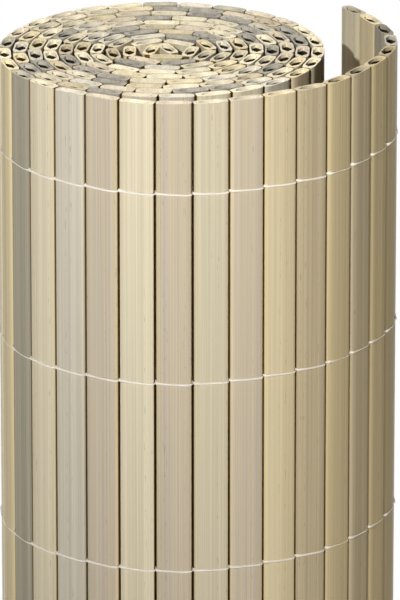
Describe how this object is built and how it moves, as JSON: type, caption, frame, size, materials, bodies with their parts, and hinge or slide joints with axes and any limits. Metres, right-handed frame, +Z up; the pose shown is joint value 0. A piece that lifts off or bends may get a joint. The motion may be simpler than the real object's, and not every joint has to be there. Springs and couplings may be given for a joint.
{
  "type": "rolled slat fence screen",
  "caption": "Screening mat of hollow oval plastic slats laced with thin cord, rolled up and standing on end with its loose end curling away.",
  "frame": {"origin": "middle of the ground rectangle that the roll and its loose end cover, on the plane of the slats' lower ends", "axes": "+Z up along the slats; -Y towards the viewer; +X to the right, where the loose end curls away"},
  "size_m": [0.2038, 0.1742, 0.9],
  "materials": {
    "slat_cream": "satin, faintly streaked",
    "slat_beige": "satin, faintly streaked",
    "slat_taupe": "satin, faintly streaked",
    "slat_grey": "satin, faintly streaked",
    "cord": "twisted nylon cord"
  },
  "bodies": {
    "root": {"inner_turn_1": "slat_cream", "inner_turn_2": "slat_beige", "inner_turn_3": "slat_cream", "inner_turn_4": "slat_beige", "inner_turn_5": "slat_cream", "inner_turn_6": "slat_beige", "inner_turn_7": "slat_cream", "inner_turn_8": "slat_beige", "lacing_cord_1": "cord", "lacing_cord_2": "cord", "lacing_cord_3": "cord", "lacing_cord_4": "cord", "lacing_cord_5": "cord", "lacing_cord_6": "cord", "lacing_cord_7": "cord", "lacing_cord_8": "cord", "lacing_cord_9": "cord", "outer_slat_01": "slat_taupe", "outer_slat_02": "slat_grey", "outer_slat_03": "slat_cream", "outer_slat_04": "slat_cream", "outer_slat_05": "slat_beige", "outer_slat_06": "slat_beige", "outer_slat_07": "slat_cream", "outer_slat_08": "slat_taupe", "outer_slat_09": "slat_grey", "outer_slat_10": "slat_cream", "outer_slat_11": "slat_cream", "outer_slat_12": "slat_beige", "outer_slat_13": "slat_beige", "outer_slat_14": "slat_cream", "outer_slat_15": "slat_taupe", "outer_slat_16": "slat_grey", "outer_slat_17": "slat_cream", "outer_slat_18": "slat_cream", "outer_slat_19": "slat_beige", "outer_slat_20": "slat_beige", "outer_slat_21": "slat_cream", "outer_slat_22": "slat_taupe", "outer_slat_23": "slat_grey", "outer_slat_24": "slat_cream", "outer_slat_25": "slat_cream", "outer_slat_26": "slat_beige", "outer_slat_27": "slat_beige", "outer_slat_28": "slat_cream", "outer_slat_29": "slat_taupe", "outer_slat_30": "slat_grey", "outer_slat_31": "slat_cream", "outer_slat_32": "slat_cream", "outer_slat_33": "slat_beige", "outer_slat_34": "slat_beige", "outer_slat_35": "slat_cream", "outer_slat_36": "slat_taupe", "outer_slat_37": "slat_grey", "outer_slat_38": "slat_cream", "outer_slat_39": "slat_cream", "outer_slat_40": "slat_beige", "outer_slat_41": "slat_beige"}
  },
  "joints": []
}
